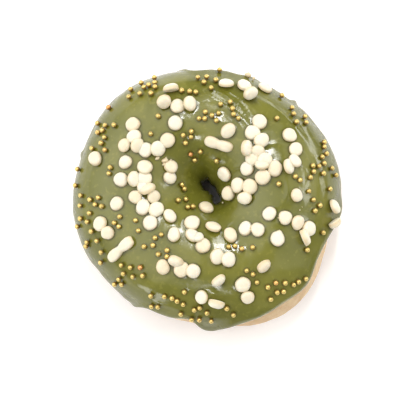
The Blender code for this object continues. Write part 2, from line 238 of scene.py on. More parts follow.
CREASES = (  # three places (clock, reach) on each crease, its height and its half-width in mm
    ((66, 0.78), (46, 0.74), (16, 0.58), 0.22, 0.9),
    ((63, 0.82), (42, 0.74), (20, 0.58), -0.16, 0.7),
    ((61, 0.74), (41, 0.63), (21, 0.56), 0.20, 0.8),
    ((63, 0.62), (43, 0.66), (20, 0.53), -0.15, 0.7),
    ((60, 0.49), (38, 0.60), (17, 0.52), 0.20, 0.8),
    ((35, 0.75), (29, 0.73), (21, 0.71), 0.16, 0.6),
    ((19, 0.86), (10, 0.85), (-2, 0.83), 0.22, 0.9),
    ((15, 0.89), (4, 0.90), (-11, 0.87), -0.18, 0.8),
    ((12, 0.92), (-1, 0.95), (-20, 0.94), 0.16, 0.8),
    ((3, 0.53), (0, 0.63), (-6, 0.71), 0.20, 0.8),
    ((87, 0.83), (90, 0.75), (94, 0.70), 0.18, 0.7),
    ((-17, 0.72), (-22, 0.77), (-29, 0.75), 0.18, 0.8),
    ((-26, 0.58), (-33, 0.60), (-42, 0.58), 0.16, 0.7),
    ((48, 0.23), (62, 0.18), (74, 0.16), 0.20, 0.8),
    ((3, 0.19), (-1, 0.26), (-6, 0.33), 0.14, 0.7),
    ((-120, 0.72), (-115, 0.76), (-111, 0.78), 0.16, 0.8),
    ((-154, 0.97), (-144, 0.92), (-131, 0.92), 0.16, 0.8),
)
CREASE_SAMPLES = 24
CREASE_FADE = (0.05, 0.9, 0.7)  # where on an arch a crease starts, how much it spans, and its power
MENISCUS = 0.07 * MM  # how far the glaze climbs beside a topping
BESIDE_WIDTH = 0.5 * MM
BESIDE_PEARL = 0.7  # how much of that a pearl has
PEARL_FOOT_RADIUS = 0.4 * PEARL_DIAMETER  # the disc that stands for a pearl's foot
PEARL_FOOT_DEPTH = 0.35 * PEARL_DIAMETER  # how far the disc lies below the pearl's middle

# Shape and fineness of the toppings
BUTTON_DOME = 1.55 * MM
BUTTON_BELLY = 0.45 * MM
BUTTON_RAISE = 0.5 * MM  # how far its widest line lies over the flat base of the solid
BUTTON_DOME_SQUARENESS = 2.7
BUTTON_BELLY_SQUARENESS = 3.5
BUTTON_STANDING_THICKNESS = 1.3
BUTTON_WAVES = ((2, 0.05), (3, 0.03), (5, 0.012))  # number and most height of its outline's waves
BUTTON_POINT = (0.24, 1.5 * math.pi, 0.26)  # how far it is drawn out, where, and its half-width
BUTTON_WAIST = (0.34, 0.42, 0.07)  # its depth, its half-width, and how square it makes the ends
BUTTON_WAIST_SHARES = {"p": 0.8, "l": 1.0}
BUTTON_DENT = (0.4, 0.4, 0.3, 0.3)  # its depth, its place, and the square of its half-width, in mm
BUTTON_SADDLE = (0.6, 0.8)  # depth and half-width, in mm, of the dip between two run together
BUTTON_HOLLOWED = 0.3  # the profile angle above which dents and saddles are cut
BUTTON_SLANT = 0.16  # how far its dome may lean, as a share of its height
BUTTON_LUMPS = ((3.0, 0.06), (1.1, 0.02))
BUTTON_EDGE_WIDTH = 0.38  # half-width of the painted shade along the edge, as a profile angle
LONG_BUTTON_WIDENING = 1.25  # makes up for what its waist takes
BUTTON_HEADROOM = 0.05 * MM  # how far the highest one stays under the top of the solids
BUTTON_SPIN_STEPS = 28
BUTTON_PROFILE_STEPS = 15
PEARL_SPIN_STEPS = 12
PEARL_PROFILE_STEPS = 8
PEARL_SIZE_SHARES = (0.9, 1.03)
PEARL_DENTS = 0.03 * MM
PEARL_DENT_PITCH = 1.2 * MM
PEARL_SHADED = 0.6  # the profile angle above which a pearl gets no painted shade
CRUMBS = (  # clock and reach of each scatter, its half-width in mm, how many, and the largest in mm
    (115, 0.31, 1.1, 5, 2.4),
    (39, 0.96, 1.1, 4, 2.4),
    (-54, 0.55, 0.9, 4, 0.7),
    (-44, 0.70, 1.2, 3, 0.5),
    (-77, 0.06, 0.4, 1, 0.7),
)
CRUMB_SEED = 21
CRUMB_SIZE_SHARES = (0.3, 0.7)  # the size of the others in a scatter, of the largest
CRUMB_STRETCHES = (0.6, 1.3)
CRUMB_RAISE = 0.4
CRUMB_LUMPS = ((0.8, 0.09),)
CRUMB_RIM = 0.6  # how tan they are, as a share of the tan of a button's painted edge shade
POLE_MERGE = 0.001 * MM

# Colours, as sRGB shares of 255
GLAZE_GREEN = (120, 118, 46)
GLAZE_DEEP = (106, 106, 36)
GLAZE_PALE = (132, 129, 61)
GLAZE_LIGHT = (142, 136, 58)
# The painted shade down the glaze's steep side
GLAZE_SIDE_SHADE = (88, 86, 38)
GLAZE_SHADE = (62, 62, 20)
DOUGH_PALE = (209, 175, 132)
DOUGH_CREAM = (224, 198, 158)
DOUGH_GOLD = (190, 137, 80)
DOUGH_BROWN = (150, 93, 47)
BUTTON_CREAM = (233, 225, 203)
BUTTON_IVORY = (228, 214, 184)
# The tan of the painted shade along a button's edge, which is also part of the crumbs' own tan
BUTTON_EDGE_SHADE_AND_CRUMB_TAN = (212, 190, 148)
PEARL_GOLD = (226, 200, 121)
PEARL_DARK = (194, 153, 76)
PEARL_COPPER = (240, 164, 104)
# The painted shade and painted reflection of the dark glaze on a pearl's lower half
PEARL_UNDER_SHADE = (152, 108, 48)
FLOOR_WHITE = (250, 250, 249)
FLOOR_WHITER = (253, 253, 252)
BLACK = (0, 0, 0)
WHITE = (255, 255, 255)

# The floor
FLOOR_SIZE = 6.0
FLOOR_GLOW = 0.12
FLOOR_GLOW_REACHES = (0.25, 0.48)  # in widths of the doughnut, the glow's start and full strength

# The camera and the lights, placed by angles of the photograph
PHOTO_TURN = 32.0
CAMERA_TILT = 8.0
CAMERA_DISTANCE = 408.5 * MM
CAMERA_LENS = 100.0
CAMERA_SENSOR = 36.0
CAMERA_NEAREST = 0.01
PHOTO_WIDTH = 400
OUTLINE_PIXEL = (209.0, 199.5)  # where the middle of the outline lies in the photograph
OUTLINE_CENTRE = (0.4, -0.5)  # and in the frame, in mm
DOUGHNUT_WIDTH = 100.0 * MM
DOUGHNUT_PIXELS = 272
BOX_DISTANCE = 0.9
BOX_SPREAD = 110.0  # the cone of each box's light in degrees, which dims it softly to its edges
SOFTBOXES = (  # name, photo angle and angle from the zenith of both ends, width, brightness
    ("faint_strip_box", (83, 54), (79, 31), 4, 11.0),
    ("strip_box", (78, 34), (76, 12), 4, 28.0),
    ("right_box", (68, 81), (2, 77), 9, 6.0),
    ("side_box", (18, 36), (-4, 48), 9, 5.0),
    ("low_box", (-86, 33), (-100, 32), 7, 16.0),
    ("back_box", (-118, 72), (-138, 72), 8, 5.0),
    ("far_box", (102, 62), (120, 66), 3, 3.0),
    ("key_box", (154, -2), (163, 79), 84, 2.05),
    ("fill_box", (36, 18), (8, 66), 60, 1.0),
    ("left_box", (112, 85), (190, 85), 13, 1.5),
    ("near_box", (-168, 86), (-100, 86), 11, 1.2),
)
WORLD_STRENGTH = 0.35


def lobes(clock, rows):
    """The sum of cosine waves round the ring, from rows of number, height and clock of a crest."""
    return sum(height * np.cos(np.radians(count * (clock - crest))) for count, height, crest in rows)


def outline_radius(clock):
    """The outer edge seen from above: a circle with a few low lobes."""
    return OUTLINE_RADIUS + MM * lobes(clock, OUTLINE_LOBES)


def neck_radius(clock):
    """The hole's narrowest outline: a superellipse whose long axis lies along Y."""
    across = np.abs(np.cos(np.radians(clock)) / NECK_HALF_WIDTH) ** NECK_SQUARENESS
    along = np.abs(np.sin(np.radians(clock)) / NECK_HALF_LENGTH) ** NECK_SQUARENESS
    return (across + along) ** (-1 / NECK_SQUARENESS)


def section(round_angle):
    """Reach and height share of the ring's section: a superellipse with its own squareness at the
    shoulder, in the hole and underneath."""
    level = np.cos(np.radians(round_angle))
    rise = np.sin(np.radians(round_angle))
    squareness = np.where(level < 0, FUNNEL_SQUARENESS, SHOULDER_SQUARENESS)
    squareness = np.where(rise < 0, BASE_SQUARENESS, squareness)
    radius = (np.abs(level) ** squareness + np.abs(rise) ** squareness) ** (-1 / squareness)
    return 0.5 + 0.5 * radius * level, radius * rise


def dough_points(clock, round_angle):
    """Points on the dough's skin: the section is swept from the neck to the outline."""
    reach, rise = section(round_angle)
    plan = plan_place(clock, reach)
    crown = CROWN_HEIGHT + MM * lobes(clock, CROWN_LOBES) - PROOF_LINE_HEIGHT
    depth = PROOF_LINE_HEIGHT + BASE_DIP
    height = PROOF_LINE_HEIGHT + rise * np.where(rise > 0, crown, depth)
    return np.concatenate((plan, np.maximum(height, 0)[..., None]), axis=-1)


def plan_place(clock, reach):
    """A place seen from above: the neck plus a share, reach, of the way to the outline."""
    direction = np.stack((np.cos(np.radians(clock)), np.sin(np.radians(clock))), axis=-1)
    neck = NECK_CENTRE + neck_radius(clock)[..., None] * direction
    outline = outline_radius(clock)[..., None] * direction
    return neck + np.asarray(reach)[..., None] * (outline - neck)


def skin_normals(clock, round_angle):
    """Outward unit normals of the dough's skin, from differences along both angles."""
    step = 0.05
    around = dough_points(clock + step, round_angle) - dough_points(clock - step, round_angle)
    over = dough_points(clock, round_angle + step) - dough_points(clock, round_angle - step)
    normal = np.cross(around, over)
    return normal / np.linalg.norm(normal, axis=-1, keepdims=True)


def glaze_hem(clock):
    """Round angle of the glaze's lower edge: below the proof line, and higher where it stops short."""
    hem = GLAZE_HEM + lobes(clock, GLAZE_HEM_WAVES)
    for centre, half_width, height in GLAZE_HEM_RISES:
        away = np.abs((clock - centre + 180) % 360 - 180) / half_width
        hem = hem + height * np.exp(-(away**6))
    return hem


def glaze_throat(clock):
    """Round angle of the glaze's inner edge, down in the hole."""
    return GLAZE_THROAT + lobes(clock, GLAZE_THROAT_WAVES)


def glaze_lift(clock, round_angle):
    """Height of the glaze over the dough's skin: even on top, a bead and a rounded end at the hem,
    thinner and rounded off in the hole, and one swollen lip."""
    from_hem = np.radians(round_angle - glaze_hem(clock)) * SECTION_RADIUS
    from_throat = np.radians(glaze_throat(clock) - round_angle) * SECTION_RADIUS
    inset = 1 - np.clip(np.minimum(from_hem, from_throat) / GLAZE_ROUNDING, 0, 1)
    bead = GLAZE_BEAD * np.exp(-((from_hem / (2 * GLAZE_ROUNDING) - 0.5) ** 2) * 4)
    away = ((clock - GLAZE_LIP_CLOCK + 180) % 360 - 180) / GLAZE_LIP_WIDTH
    lip = GLAZE_LIP * np.exp(-(away**2) - (from_hem / (4 * GLAZE_ROUNDING)) ** 2)
    thinning = np.interp(round_angle, GLAZE_THINNING, (1, GLAZE_THINNED))
    thickness = GLAZE_THICKNESS * thinning + bead + lip
    return GLAZE_GAP + thickness * np.sqrt(np.maximum(1 - inset**2, 0))


def glaze_points(clock, round_angle):
    """Points on the glaze's plain outer surface."""
    lift = glaze_lift(clock, round_angle)[..., None]
    return dough_points(clock, round_angle) + lift * skin_normals(clock, round_angle)


def round_angle_at(reach):
    """The round angle, on the top, of a place with this reach."""
    rounds = np.linspace(180, 0, 361)
    return np.interp(reach, section(rounds)[0], rounds)


def perch(clock, reach):
    """The glaze's surface at a clock and a reach on the top: a point and an outward normal."""
    clock, round_angle = np.array([clock]), np.array([round_angle_at(reach)])
    point = glaze_points(clock, round_angle)[0]
    normal = skin_normals(clock, round_angle)[0]
    return Vector(point), Vector(normal)


def standing_on(point, normal, spin, tip, lift):
    """A placing matrix: up along the normal, spun about it from +X laid into the surface, tipped
    about its own X and lifted."""
    side = (Vector((1, 0, 0)) - normal * normal.x).normalized()
    upright = Matrix((side, normal.cross(side), normal)).transposed().to_4x4()
    turn = Matrix.Rotation(spin, 4, "Z") @ Matrix.Rotation(tip, 4, "X")
    return Matrix.Translation(point + normal * lift) @ upright @ turn


def clock_and_reach(x, y):
    """The clock and reach of a place seen from above, by a few rounds of correction."""
    nearest, farthest = PLACE_REACHES
    reach = 0.5
    for _ in range(PLACE_ROUNDS):
        centre = NECK_CENTRE * (1 - reach)
        clock = math.degrees(math.atan2(y - centre[1], x - centre[0]))
        angle = np.array(clock)
        neck = float(neck_radius(angle))
        outline = float(outline_radius(angle))
        distance = math.hypot(x - centre[0], y - centre[1])
        reach = min(max((distance - neck) / (outline - neck), nearest), farthest)
    return clock, reach


def button_places():
    """Placing matrix, size factors and kind of each button. A pinch is a chain of buttons about its
    middle, and a button that overlaps the one before it leans on it."""
    draw = random.Random(BUTTON_SEED)
    places = []
    for clock, reach, heading, kinds in BUTTON_PINCHES:
        middle = plan_place(np.array(clock), reach)
        turn = math.radians(heading)
        for i, kind in enumerate(kinds):
            along = (i - (len(kinds) - 1) / 2) * BUTTON_PITCH * draw.uniform(*BUTTON_PITCH_SHARES)
            x = middle[0] + along * math.cos(turn)
            y = middle[1] + along * math.sin(turn)
            point, normal = perch(*clock_and_reach(x, y))
            across, length, tip, lift = BUTTON_KINDS[kind]
            size = draw.uniform(*BUTTON_SIZE_SHARES)
            overlap = 0
            if i:
                gap = (point - places[-1][0].translation).length
                overlap = max(0, 1 - gap / BUTTON_DIAMETER)
            spin = turn + math.pi / 2 + draw.uniform(-BUTTON_SPIN_SPREAD, BUTTON_SPIN_SPREAD)
            tip = tip + BUTTON_LEAN * overlap + draw.uniform(-BUTTON_TIP_SPREAD, BUTTON_TIP_SPREAD)
            lift = lift * MM - BUTTON_SUNK + BUTTON_HEIGHT * overlap
            placing = standing_on(point, normal, spin, math.radians(tip), lift)
            places.append((placing, (size * across, size * length, size), kind))
    return places


def pearl_places(buttons):
    """Placing matrices of the pearls: seeded darts over the glaze, denser to one side, some rolled
    against the one before in runs of a few, and none off the glaze or where something lies."""
    draw = random.Random(PEARL_SEED)
    taken = [(matrix.translation, BUTTON_ROOM) for matrix, _, _ in buttons]
    nearest, farthest = PEARL_REACHES
    crowding, densest = PEARL_CROWDING
    places = []
    run = 0
    while len(places) < PEARL_COUNT:
        clock = draw.uniform(0, 360)
        reach = math.sqrt(draw.uniform(nearest**2, farthest**2))
        if draw.uniform(0, 1 + crowding) > 1 + crowding * math.cos(math.radians(clock - densest)):
            continue
        rolled = 0 < run < PEARL_RUN and draw.random() < PEARL_ROLLING
        room = PEARL_ROLLED_ROOM if rolled else PEARL_ROOM
        if rolled:
            last = places[-1].translation
            turn = draw.uniform(0, math.tau)
            step = PEARL_DIAMETER * draw.uniform(*PEARL_ROLLED_STEPS)
            clock, reach = clock_and_reach(last.x + step * math.cos(turn), last.y + step * math.sin(turn))
        on_glaze = round_angle_at(reach) > glaze_hem(clock) + PEARL_HEM_MARGIN
        if not (on_glaze and nearest < reach < farthest):
            continue
        point, normal = perch(clock, reach)
        if any((point - other).length < radius + room for other, radius in taken):
            continue
        run = run + 1 if rolled else 1
        places.append(standing_on(point, normal, 0, 0, PEARL_DIAMETER / 2 - PEARL_SUNK))
        taken.append((point, PEARL_DIAMETER / 2))
    return places


def meets_long_button(pearl, buttons):
    """Whether a pearl would meet a long button, whose ends reach past the room that is kept."""
    for matrix, (across, length, _), _ in buttons:
        place = matrix.inverted() @ pearl.translation
        beside = abs(place.x) < (across * BUTTON_DIAMETER + PEARL_DIAMETER) / 2
        within = abs(place.y) < (length * BUTTON_DIAMETER + PEARL_DIAMETER) / 2
        if length > LONG_BUTTON and beside and within:
            return True
    return False


def waves(points, wavelength, seed):
    """Smooth noise of about -1 to 1: the sum of plane sine waves in seeded directions, their
    wavelengths spread about the given one."""
    draw = np.random.default_rng(seed)
    directions = draw.normal(size=(WAVES, 3))
    directions /= np.linalg.norm(directions, axis=1, keepdims=True)
    lengths = wavelength * draw.uniform(*WAVE_SPREAD, WAVES)
    phases = draw.uniform(0, math.tau, WAVES)
    angles = math.tau * (points @ directions.T) / lengths + phases
    return np.sin(angles).sum(axis=-1) / math.sqrt(WAVES)


def lumps(points, rows, seed):
    """The sum of waves of several wavelengths, from rows of wavelength and height in mm."""
    sets = enumerate(rows)
    return MM * sum(height * waves(points, length * MM, seed + i) for i, (length, height) in sets)


def share_between(values, limits):
    """How far each value has gone from the first limit, at 0, to the second, at 1."""
    start, end = limits
    return np.clip((values - start) / (end - start), 0, 1)


def crease_relief(points):
    """Ridges and grooves along the creases: each is a parabola through three places seen from
    above, its height a bell curve of the distance to it, fading towards both ends."""
    fade_start, fade_span, fade_power = CREASE_FADE
    share = np.linspace(0, 1, CREASE_SAMPLES)[:, None]
    relief = np.zeros(points.shape[:-1])
    for *places, height, width in CREASES:
        start, middle, end = (plan_place(np.array(clock), reach) for clock, reach in places)
        ends = start * (1 - share) * (1 - 2 * share) + end * share * (2 * share - 1)
        curve = ends + 4 * middle * share * (1 - share)
        away = np.linalg.norm(points[..., None, :2] - curve, axis=-1)
        nearest = away.argmin(axis=-1)
        fade = np.sin(math.pi * (share[nearest, 0] * fade_span + fade_start)) ** fade_power
        relief += height * MM * fade * np.exp(-((away.min(axis=-1) / (width * MM)) ** 2))
    return relief


def knob_relief(clock, round_angle):
    """Small knobs on the glaze's edge and low bulges in the hole, each a bell curve of both angles,
    and low lobes that make the glaze's mouth in the hole uneven."""
    mouth = np.exp(-(((round_angle - 180) / NECK_REACH) ** 2))
    relief = MM * lobes(clock, NECK_LOBES) * mouth
    for centre, level, width, spread, height in KNOBS:
        away = ((clock - centre + 180) % 360 - 180) / width
        relief += height * MM * np.exp(-(away**2) - ((round_angle - level) / spread) ** 2)
    return relief


def beside_toppings(points, buttons, pearls):
    """How close each point is to a topping: a bell curve of the distance to a disc, which is the
    button's underside or a little less than the pearl's width."""
    beside = np.zeros(points.shape[:-1])
    discs = [(matrix, BUTTON_DIAMETER / 2 * size[0], 0.0, 1.0) for matrix, size, _ in buttons]
    discs += [(matrix, PEARL_FOOT_RADIUS, PEARL_FOOT_DEPTH, BESIDE_PEARL) for matrix in pearls]
    for matrix, radius, depth, share in discs:
        placing = np.array(matrix)
        local = (points - placing[:3, 3]) @ placing[:3, :3]
        aside = np.maximum(np.hypot(local[..., 0], local[..., 1]) - radius, 0)
        below = np.maximum(-local[..., 2] - depth, 0)
        beside = np.maximum(beside, share * np.exp(-(aside**2 + below**2) / BESIDE_WIDTH**2))
    return beside


def wrinkle_patches(points):
    """For each point, the strongest patch of wrinkles there: its strength, a bell curve of the
    place seen from above, and the places across and along it in mm, set apart from patch to patch."""
    strength = np.zeros(points.shape[:-1])
    grain = np.zeros(points.shape)
    for i, (clock, reach, heading, length, width, depth) in enumerate(WRINKLES):
        centre = plan_place(np.array(clock), reach)
        turn = math.radians(heading)
        away = (points[..., :2] - centre) / MM
        along = away @ np.array((math.cos(turn), math.sin(turn)))
        across = away @ np.array((-math.sin(turn), math.cos(turn))) + along**2 / WRINKLE_BEND
        bell = depth * np.exp(-((along / length) ** 4) - (across / width) ** 4)
        nearer = bell > strength
        strength = np.where(nearer, bell, strength)
        place = np.stack((across, along, np.full_like(across, WRINKLE_APART * i)), axis=-1)
        grain = np.where(nearer[..., None], place, grain)
    return strength, grain


def ring_mesh(name, points):
    """A closed ring from a grid of points that wraps round both ways."""
    clocks, rounds = points.shape[:2]
    index = np.arange(clocks * rounds).reshape(clocks, rounds)
    ahead, over = np.roll(index, -1, axis=0), np.roll(index, -1, axis=1)
    both = np.roll(ahead, -1, axis=1)
    faces = np.stack((index, ahead, both, over), axis=-1).reshape(-1, 4)
    return surface(name, points.reshape(-1, 3), faces)


def surface(name, points, faces):
    """An object from arrays of points and four-cornered faces, shaded smooth, facing outwards."""
    mesh = bpy.data.meshes.new(name)
    mesh.vertices.add(len(points))
    mesh.vertices.foreach_set("co", points.astype(np.float32).reshape(-1))
    mesh.loops.add(faces.size)
    mesh.loops.foreach_set("vertex_index", faces.astype(np.int32).reshape(-1))
    mesh.polygons.add(len(faces))
    mesh.polygons.foreach_set("loop_start", np.arange(0, faces.size, 4, dtype=np.int32))
    mesh.update(calc_edges=True)
    mesh.shade_smooth()
    piece = bpy.data.objects.new(name, mesh)
    bpy.context.scene.collection.objects.link(piece)
    return piece


def set_attribute(piece, name, values):
    """Stores a number, or a vector, for each vertex, for the material to read."""
    values = np.asarray(values, np.float32)
    vector = values.size == 3 * len(piece.data.vertices)
    attribute = piece.data.attributes.new(name, "FLOAT_VECTOR" if vector else "FLOAT", "POINT")
    attribute.data.foreach_set("vector" if vector else "value", values.reshape(-1))


def blobs_mesh(name, points):
    """Many closed blobs in one mesh, from a grid of points for each: blob, spin and profile. The
    profile runs from the bottom pole to the top one."""
    count, spins, steps = points.shape[:3]
    index = np.arange(count * spins * steps).reshape(count, spins, steps)
    ahead = np.roll(index, -1, axis=1)
    corners = (index[..., :-1], ahead[..., :-1], ahead[..., 1:], index[..., 1:])
    faces = np.stack(corners, axis=-1).reshape(-1, 4)
    return surface(name, points.reshape(-1, 3), faces)


def close_poles(piece):
    """Merges the points that meet at each pole, so that every blob is closed."""
    mesh = bmesh.new()
    mesh.from_mesh(piece.data)
    bmesh.ops.remove_doubles(mesh, verts=mesh.verts, dist=POLE_MERGE)
    mesh.to_mesh(piece.data)
    mesh.free()


def make_dough():
    """The ring of dough: the plain skin moved along its normal by low lumps, and drawn in a little
    so that it stays inside its solid. Its attribute "crust" rises smoothly from 0 on the pale skin
    to 1 between two wavy edges underneath."""
    clocks = np.arange(DOUGH_CLOCK_STEPS) * 360 / DOUGH_CLOCK_STEPS
    rounds = np.arange(DOUGH_ROUND_STEPS) * 360 / DOUGH_ROUND_STEPS
    clock, round_angle = np.meshgrid(clocks, rounds, indexing="ij")
    points = dough_points(clock, round_angle)
    normals = skin_normals(clock, round_angle)
    relief = lumps(points, DOUGH_LUMPS, WAVE_SEEDS["dough"]) - DOUGH_INSET
    points = points + relief[..., None] * normals
    points[..., 2] = np.maximum(points[..., 2], 0)
    piece = ring_mesh("dough_ring", points)
    sway = lumps(points, CRUST_EDGE_WAVES, WAVE_SEEDS["crust"]) / MM
    turned = np.where(round_angle > 180, round_angle - 360, round_angle)
    outer = np.clip((CRUST_EDGE + sway - turned) / CRUST_FADE, 0, 1)
    inner = np.clip((turned - CRUST_INNER_EDGE - sway) / CRUST_INNER_FADE, 0, 1)
    crust = np.where(turned < 0, np.minimum(outer, inner), 0)
    set_attribute(piece, "crust", crust * crust * (3 - 2 * crust))
    return piece


def make_glaze(buttons, pearls):
    """The glaze: its outer surface with lumps, creases, wrinkles, knobs and a meniscus round each
    topping, then a rounded hem and back along its underside. Its attributes say how close each
    point is to a topping, how deep in the hole and how steep it lies, which the material uses for
    painted shade round the toppings, in the hole and down the steep side, how wrinkled it is, and
    where it lies in its patch of wrinkles."""
    clocks = np.arange(GLAZE_CLOCK_STEPS) * 360 / GLAZE_CLOCK_STEPS
    even = np.linspace(0, 1, GLAZE_TOP_STEPS)
    crowded = 0.5 - 0.5 * np.cos(np.pi * even)
    top = GLAZE_STEP_EVENNESS * even + (1 - GLAZE_STEP_EVENNESS) * crowded
    under = np.linspace(1, 0, GLAZE_UNDER_STEPS + 2)[1:-1]
    clock, share = np.meshgrid(clocks, np.concatenate((top, under)), indexing="ij")
    hem = glaze_hem(clock) + lobes(clock, GLAZE_HEM_RIPPLES)
    round_angle = hem + share * (glaze_throat(clock) - hem)
    lift = glaze_lift(clock, round_angle)
    lift[:, GLAZE_TOP_STEPS:] = GLAZE_GAP
    normals = skin_normals(clock, round_angle)
    points = dough_points(clock, round_angle) + lift[..., None] * normals
    upper = points[:, :GLAZE_TOP_STEPS]
    full = GLAZE_FULL_SHARE * GLAZE_THICKNESS * GLAZE_THINNED
    fullness = np.clip((lift[:, :GLAZE_TOP_STEPS] - GLAZE_GAP) / full, 0, 1)
    strength, grain = wrinkle_patches(points)
    beside = beside_toppings(points, buttons, pearls)
    steep = share_between(round_angle, GLAZE_SIDE_ANGLES) ** GLAZE_SIDE_ONSET
    drawn_out = grain[:, :GLAZE_TOP_STEPS] * (MM, WRINKLE_STRETCH * MM, MM)
    folds = waves(drawn_out, WRINKLE_PITCH, WAVE_SEEDS["wrinkles"])
    relief = lumps(upper, GLAZE_LUMPS, WAVE_SEEDS["glaze"]) + crease_relief(upper)
    relief += MENISCUS * beside[:, :GLAZE_TOP_STEPS]
    relief += WRINKLE_HEIGHT * strength[:, :GLAZE_TOP_STEPS] * folds
    relief += knob_relief(clock, round_angle)[:, :GLAZE_TOP_STEPS]
    relief += steep[:, :GLAZE_TOP_STEPS] * lumps(upper, GLAZE_SIDE_LUMPS, WAVE_SEEDS["glaze side"])
    relief = (relief - GLAZE_INSET) * fullness
    points[:, :GLAZE_TOP_STEPS] += relief[..., None] * normals[:, :GLAZE_TOP_STEPS]
    piece = ring_mesh("glaze_coat", points)
    # Closeness to a topping: it lifts the meniscus and sets the painted shade round the topping
    set_attribute(piece, "beside", beside)
    # How far down into the hole: it sets the painted shade there
    set_attribute(piece, "deep", share_between(round_angle, GLAZE_HOLE_SHADE_ANGLES) ** 2)
    set_attribute(piece, "steep", steep)
    set_attribute(piece, "wrinkled", strength)
    set_attribute(piece, "grain", grain)
    return piece


def blob_angles(spins, steps):
    """The angles of a blob's grid: about its upright axis, and up its profile from pole to pole."""
    around = np.arange(spins) * math.tau / spins
    profile = np.linspace(-math.pi / 2, math.pi / 2, steps)
    return around[None, :, None], profile[None, None, :]


def ball_points(around, profile):
    """Points of a ball of radius 1 at these angles."""
    corners = (np.cos(profile) * np.cos(around), np.cos(profile) * np.sin(around), np.sin(profile))
    return np.stack(np.broadcast_arrays(*corners), axis=-1)


def place_all(local, places):
    """Local points of each blob moved by its placing matrix."""
    matrices = np.array([np.array(matrix) for matrix in places])
    turned = np.einsum("bij,bspj->bspi", matrices[:, :3, :3], local)
    return turned + matrices[:, None, None, :3, 3]


def make_buttons(buttons):
    """The cream buttons: superellipse domes over a shallow, flat belly that holds their widest line
    just clear of the glaze, so that a dark gap shows under it. Each outline is a circle with a few
    low waves, drawn out to a point, dented or given a waist where its kind asks for it."""
    draw = np.random.default_rng(BUTTON_SEED)
    count = len(buttons)
    kinds = np.array([kind for _, _, kind in buttons])[:, None, None]
    sizes = np.array([size for _, size, _ in buttons])
    around, profile = blob_angles(BUTTON_SPIN_STEPS, BUTTON_PROFILE_STEPS)

    def each(low, high):
        """A random number for each button."""
        return draw.uniform(low, high, count)[:, None, None]

    outline = 1
    for number, most in BUTTON_WAVES:
        outline = outline + each(0, most) * np.cos(number * (around + each(0, math.tau)))
    length, place, width = BUTTON_POINT
    outline = outline + (kinds == "t") * length * np.exp(-(((around - place) / width) ** 2))
    depth, width, square_ends = BUTTON_WAIST
    from_side = np.abs((around + math.pi / 2) % math.pi - math.pi / 2)
    waist = depth * np.exp(-((from_side / width) ** 2)) + square_ends * np.cos(4 * around)
    for kind, share in BUTTON_WAIST_SHARES.items():
        outline = outline - (kinds == kind) * share * waist
    squareness = np.where(profile > 0, BUTTON_DOME_SQUARENESS, BUTTON_BELLY_SQUARENESS)
    full = np.where(profile > 0, BUTTON_DOME, BUTTON_BELLY)
    full = full * np.where(kinds == "s", BUTTON_STANDING_THICKNESS, 1)
    across = BUTTON_DIAMETER / 2 * outline * np.maximum(np.cos(profile), 0) ** (2 / squareness)
    height = full * np.sign(profile) * np.abs(np.sin(profile)) ** (2 / squareness)
    x = across * np.cos(around) * np.where(kinds == "l", LONG_BUTTON_WIDENING, 1)
    y = across * np.sin(around)
    depth, dent_x, dent_y, width_squared = BUTTON_DENT
    from_dent = ((x / MM - dent_x) ** 2 + (y / MM - dent_y) ** 2) / width_squared
    hollow = (kinds == "d") * depth * np.exp(-from_dent)
    depth, width = BUTTON_SADDLE
    hollow = hollow + (kinds == "p") * depth * np.exp(-((y / MM / width) ** 2))
    height = height - MM * hollow * (profile > BUTTON_HOLLOWED)
    x = x + each(-BUTTON_SLANT, BUTTON_SLANT) * np.maximum(height, 0)
    y = y + each(-BUTTON_SLANT, BUTTON_SLANT) * np.maximum(height, 0)
    local = np.stack(np.broadcast_arrays(x, y, height + BUTTON_RAISE), axis=-1) * sizes[:, None, None, :]
    points = place_all(local, [matrix for matrix, _, _ in buttons])
    bumps = lumps(points, BUTTON_LUMPS, WAVE_SEEDS["buttons"])
    middle = np.array([matrix.translation for matrix, _, _ in buttons])[:, None, None, :]
    outwards = points - middle
    outwards /= np.maximum(np.linalg.norm(outwards, axis=-1, keepdims=True), 1e-9)
    points = points + bumps[..., None] * outwards
    tops = points[..., 2].max(axis=(1, 2), keepdims=True)
    points[..., 2] -= np.maximum(tops - cad_box[1][2] + BUTTON_HEADROOM, 0)
    piece = blobs_mesh("cream_buttons", points)
    set_attribute(piece, "tint", np.broadcast_to(each(0, 1), points.shape[:3]))
    # Where the painted shade along a button's edge lies
    rim = np.exp(-((profile / BUTTON_EDGE_WIDTH) ** 2))
    set_attribute(piece, "rim", np.broadcast_to(rim, points.shape[:3]))
    close_poles(piece)
    return piece


def make_pearls(pearls):
    """The gold pearls: balls of slightly unlike sizes, with shallow dents."""
    draw = np.random.default_rng(PEARL_SEED)
    count = len(pearls)
    around, profile = blob_angles(PEARL_SPIN_STEPS, PEARL_PROFILE_STEPS)
    radius = PEARL_DIAMETER / 2 * draw.uniform(*PEARL_SIZE_SHARES, count)[:, None, None]
    local = radius[..., None] * ball_points(around, profile)
    dents = PEARL_DENTS * waves(local, PEARL_DENT_PITCH, WAVE_SEEDS["pearls"]) / radius
    points = place_all(local * (1 + dents[..., None]), pearls)
    piece = blobs_mesh("gold_pearls", points)
    tint = draw.random(count)[:, None, None]
    set_attribute(piece, "tint", np.broadcast_to(tint, points.shape[:3]))
    # Where the painted shade and reflection lie: full on the lower half, fading out above
    rim = share_between(profile, (PEARL_SHADED, 0))
    set_attribute(piece, "rim", np.broadcast_to(rim, points.shape[:3]))
    close_poles(piece)
    return piece


